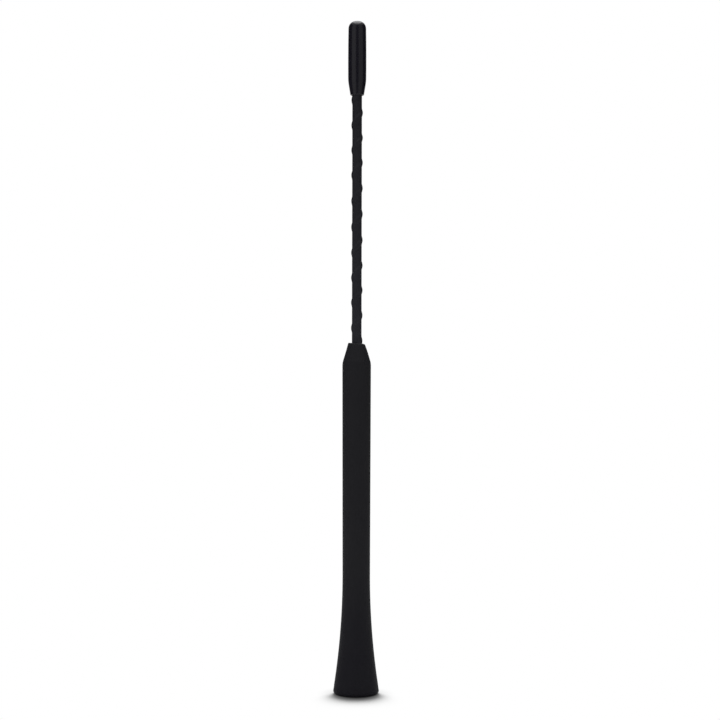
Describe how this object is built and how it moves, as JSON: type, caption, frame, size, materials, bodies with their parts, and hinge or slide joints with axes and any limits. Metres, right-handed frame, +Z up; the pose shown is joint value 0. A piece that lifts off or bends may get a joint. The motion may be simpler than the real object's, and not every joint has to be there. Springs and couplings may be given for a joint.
{
  "type": "car mast aerial",
  "caption": "Short screw-on car roof aerial: thin whip with a raised spiral and a domed cap, on a slim black rubber body that flares to a round foot with a threaded insert.",
  "frame": {"origin": "centre of the foot's underside, where the aerial stands on the roof", "axes": "+Z up along the mast, +X to the right in the picture's view, the picture looks along +Y"},
  "size_m": [0.0156, 0.0156, 0.23],
  "materials": {
    "body_rubber": "fine matt moulded rubber",
    "insert_metal": "turned brass with dull nickel plate",
    "rod_fibreglass": "plain pultruded glass fibre",
    "coil_copper": "enamelled copper wire",
    "sleeve_plastic": "matt shrink sleeve",
    "cap_plastic": "satin moulded plastic"
  },
  "bodies": {
    "root": {"mast_body": "body_rubber", "base_insert": "insert_metal", "core_rod": "rod_fibreglass", "loading_coil": "coil_copper", "whip_sleeve": "sleeve_plastic", "tip_cap": "cap_plastic"}
  },
  "joints": []
}
